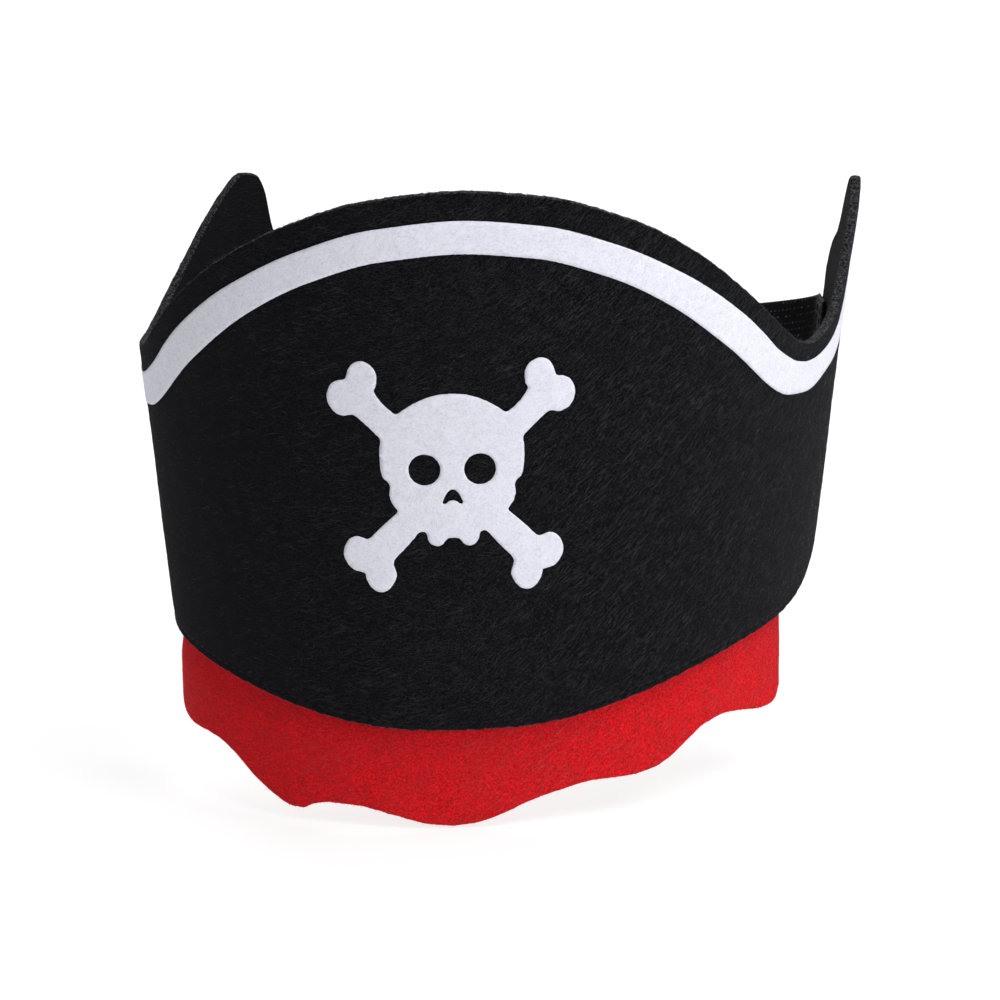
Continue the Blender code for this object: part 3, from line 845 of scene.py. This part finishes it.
def stitches(name, holes, lift, look, node):
    """Thread from hole to hole, each stitch a twisted two-ply arc that dives into the felt at both ends.

    holes are (along, up, depth) on the surface, in millimetres, and lift is the way out of that surface.
    """
    holes = np.array(holes)
    t = np.linspace(0, 1, 13)
    paths = []
    flats = []
    for a, b in zip(holes[:-1], holes[1:]):
        line = a + (b - a) * (STITCH_HOLE + (1 - 2 * STITCH_HOLE) * t[:, None])
        arc = np.sin(math.pi * t) ** 0.6
        depth = line[:, 2] + lift * (STITCH_RISE * arc - STITCH_SINK)
        paths.append(place(line[:, 0], line[:, 1], depth))
        flats.append(np.column_stack([line[:, :2], depth]))
    points, faces = tubes(paths, THREAD_RADIUS * MM, THREAD_SIDES, twist=16.0)
    flat = np.repeat(np.array(flats).reshape(-1, 3), THREAD_SIDES, 0)
    made = mesh_piece(name, points, faces, flat, look)
    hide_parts(node)


def all_stitches(look):
    """The needle and the bobbin thread of the hem and of both elastic seams, with one look."""
    at = np.arange(STRIP_LEFT + 2, STRIP_RIGHT - 1.9, STITCH)
    up = bottom_edge(at) + HEM_INSET
    for thread, depth, lift in (("needle", SEAM_GROOVE, -1), ("bobbin", FELT + GAP + RED_FELT, 1)):
        holes = np.column_stack([at, up, depth + 0 * at])
        stitches(f"hem_{thread}_stitches", holes, lift, look, f"hem_{thread}_thread")
    low, high = ELASTIC_LOW + ELASTIC_SEAM_INSET, ELASTIC_HIGH - ELASTIC_SEAM_INSET
    near, far = ELASTIC_SEAMS
    rise = np.linspace(low, high, 9)
    path = [(near, level) for level in rise]
    path += [((near + far) / 2, high), (far, high)]
    path += [(far, level) for level in rise[::-1][1:]]
    path = np.array(path)
    for side, sign in (("left", -1), ("right", 1)):
        for thread, depth, lift in (("needle", SEAM_GROOVE, -1), ("bobbin", FELT + GAP + ELASTIC, 1)):
            holes = np.column_stack([sign * path[:, 0], path[:, 1], depth + 0 * path[:, 0]])
            name = f"{side}_elastic_{thread}"
            stitches(f"{name}_stitches", holes, lift, look, f"{name}_thread")


def lying_fibres(name, bend_it, low, high, reach, count, length, radius, lift, look, surface):
    """Fine straight fibres on the outer face of a felt, level at the left and slanted at the right."""
    along = random.uniform(*reach, count)
    up = low(along) + 2 + (high(along) - low(along) - 4) * random.uniform(0, 1, count)
    turn = np.radians(np.interp(along, (-50, 50), (8, 48)) + random.normal(0, 24, count))
    size = random.uniform(*length, count)
    bow = random.normal(0, 0.15, count)
    t = np.linspace(-0.5, 0.5, 7)[None, :]
    angle = turn[:, None] + bow[:, None] * t
    a = along[:, None] + np.cumsum(np.cos(angle), 1) * size[:, None] / 7
    u = up[:, None] + np.cumsum(np.sin(angle), 1) * size[:, None] / 7
    a = np.clip(a, reach[0], reach[1])
    u = np.clip(u, low(a) + 0.4, high(a) - 0.4)
    depth = surface(a, u) - lift * (0.3 + 0.7 * np.cos(math.pi * t) ** 2 * random.uniform(0, 1, (count, 1)))
    points, faces = tubes(bend_it(a, u, depth), radius * MM, FIBRE_SIDES)
    flat = np.repeat(np.stack([a, u, depth], -1).reshape(-1, 3), FIBRE_SIDES, 0)
    mesh_piece(name, points, faces, flat, look)


def edge_fibres(name, bend_it, edge, sign, reach, depths, count, length, look):
    """Short fibres that stand out of a cut edge, in the flat plane of the felt and a little to each side."""
    along = random.uniform(*reach, count)
    rise = (edge(along + 0.3) - edge(along - 0.3)) / 0.6
    out = np.stack([-rise, np.ones(count)], -1) * sign
    out /= np.linalg.norm(out, axis=1, keepdims=True)
    size = random.uniform(*length, count) * random.uniform(0.4, 1, count)
    start = random.uniform(*depths, count)
    lean = random.normal(0, 0.7, count)
    sway = random.normal(0, 0.5, count)
    curl = random.normal(0, 0.8, count)
    t = np.linspace(0, 1, 5)[None, :]
    push = size[:, None] * t
    shift = size[:, None] * (lean[:, None] * t + curl[:, None] * t * t) * 0.6
    a = along[:, None] + out[:, :1] * push + out[:, 1:] * shift
    u = edge(along)[:, None] - 0.1 * sign + out[:, 1:] * push - out[:, :1] * shift
    depth = start[:, None] + size[:, None] * sway[:, None] * t
    points, faces = tubes(bend_it(a, u, depth), EDGE_FIBRE_RADIUS * MM, FIBRE_SIDES, taper=True)
    flat = np.repeat(np.stack([a, u, depth], -1).reshape(-1, 3), FIBRE_SIDES, 0)
    mesh_piece(name, points, faces, flat, look)


def loose_fibres(black, red):
    """The fibres that stand out of both felts: black ones first, then red ones."""

    def felt_face(along, up):
        return -face_relief(along, up)

    def strip_face(along, up):
        return FELT + GAP + 0 * along - 0.1

    panel = (-PANEL_REACH + 1, PANEL_REACH - 1)
    panel_depths = (0.2, FELT - 0.2)
    strip = (STRIP_LEFT + 0.5, STRIP_RIGHT - 0.5)
    strip_depths = (FELT + GAP + 0.2, FELT + GAP + RED_FELT - 0.2)
    lying_fibres("black_felt_fibres", place, bottom_edge, top_edge, reach=(-180, 180), count=2600,
                 length=(1.0, 4.0), radius=0.026, lift=0.08, look=black, surface=felt_face)
    edge_fibres("black_top_edge_fibres", place, top_edge, sign=1, reach=panel, depths=panel_depths,
                count=3000, length=(0.4, 1.3), look=black)
    edge_fibres("black_low_edge_fibres", place, bottom_edge, sign=-1, reach=panel, depths=panel_depths,
                count=2600, length=(0.4, 1.2), look=black)
    lying_fibres("red_felt_fibres", strip_place, scallop_edge, bottom_edge, reach=strip, count=600,
                 length=(1.2, 4.0), radius=0.024, lift=0.12, look=red, surface=strip_face)
    edge_fibres("red_edge_fibres", strip_place, scallop_edge, sign=-1, reach=strip, depths=strip_depths,
                count=900, length=(0.3, 1.1), look=red)


# ---------------------------------------------------------------- floor, lights, camera

def floor(top):
    """A plain pale floor just below the hat. It glows a little, so that it comes out white."""
    build = bmesh.new()
    bmesh.ops.create_grid(build, x_segments=8, y_segments=8, size=12)
    data = bpy.data.meshes.new("floor")
    build.to_mesh(data)
    build.free()
    made = bpy.data.objects.new("floor", data)
    made.location.z = top
    bpy.context.scene.collection.objects.link(made)
    pale = bpy.data.materials.new("pale_floor")
    pale.use_nodes = True
    shader = pale.node_tree.nodes["Principled BSDF"]
    shader.inputs["Base Color"].default_value = (0.30, 0.30, 0.30, 1)
    shader.inputs["Roughness"].default_value = 0.9
    shader.inputs["Specular IOR Level"].default_value = 0.1
    shader.inputs["Emission Color"].default_value = (1, 1, 1, 1)
    shader.inputs["Emission Strength"].default_value = 0.72
    data.materials.append(pale)


def soft_light(name, position, target, size, power):
    data = bpy.data.lights.new(name, "AREA")
    data.shape = "DISK"
    data.size = size
    data.energy = power
    made = bpy.data.objects.new(name, data)
    made.location = position
    made.rotation_euler = (Vector(target) - Vector(position)).to_track_quat("-Z", "Y").to_euler()
    bpy.context.scene.collection.objects.link(made)


def lighting():
    world = bpy.data.worlds.new("studio")
    bpy.context.scene.world = world
    world.use_nodes = True
    back = world.node_tree.nodes["Background"]
    back.inputs["Color"].default_value = (1, 1, 1, 1)
    back.inputs["Strength"].default_value = 0.30
    soft_light("key_light", position=(1.25, -1.1, 0.32), target=(0, -0.02, 0.06), size=0.9, power=13)
    soft_light("back_light", position=(-0.3, 1.4, 1.0), target=(0, 0.02, 0.06), size=1.0, power=16)
    overhead = bpy.data.lights.new("overhead_light", "SUN")
    overhead.energy = 2.2
    overhead.angle = math.radians(50)
    made = bpy.data.objects.new("overhead_light", overhead)
    made.rotation_euler = Vector((0.42, -0.30, 1.0)).to_track_quat("Z", "Y").to_euler()
    bpy.context.scene.collection.objects.link(made)
    bpy.context.scene.view_settings.view_transform = "Standard"


def camera():
    """The photograph's view, with a long lens."""
    azimuth, elevation, roll = (math.radians(angle) for angle in CAMERA_ANGLES)
    back = Vector((math.sin(azimuth) * math.cos(elevation), -math.cos(azimuth) * math.cos(elevation),
                   math.sin(elevation)))
    right = Vector((math.cos(azimuth), math.sin(azimuth), 0))
    up = back.cross(right)
    tilted_right = right * math.cos(roll) + up * math.sin(roll)
    tilted_up = up * math.cos(roll) - right * math.sin(roll)
    data = bpy.data.cameras.new("camera")
    data.lens = CAMERA_LENS
    data.sensor_width = CAMERA_SENSOR
    data.clip_end = 50
    made = bpy.data.objects.new("camera", data)
    turn = Matrix((tilted_right, tilted_up, back)).transposed().to_4x4()
    made.matrix_world = Matrix.Translation(CAMERA_PLACE) @ turn
    bpy.context.scene.collection.objects.link(made)
    bpy.context.scene.camera = made


# ---------------------------------------------------------------- the hat

camera()
lighting()
ink = ink_look()
felt_panel(black_felt_look())
stripe(ink)
skull(ink)
red_strip(red_felt_look())
elastic(elastic_look())
all_stitches(thread_look())
loose_fibres(fibre_look("black_fibre_visual", dark=(0.010, 0.010, 0.012), light=(0.115, 0.116, 0.130)),
             fibre_look("red_fibre_visual", dark=(0.48, 0.012, 0.018), light=(0.90, 0.090, 0.10)))
floor(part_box("scallop_strip")[0].z - FLOOR_BELOW * MM)
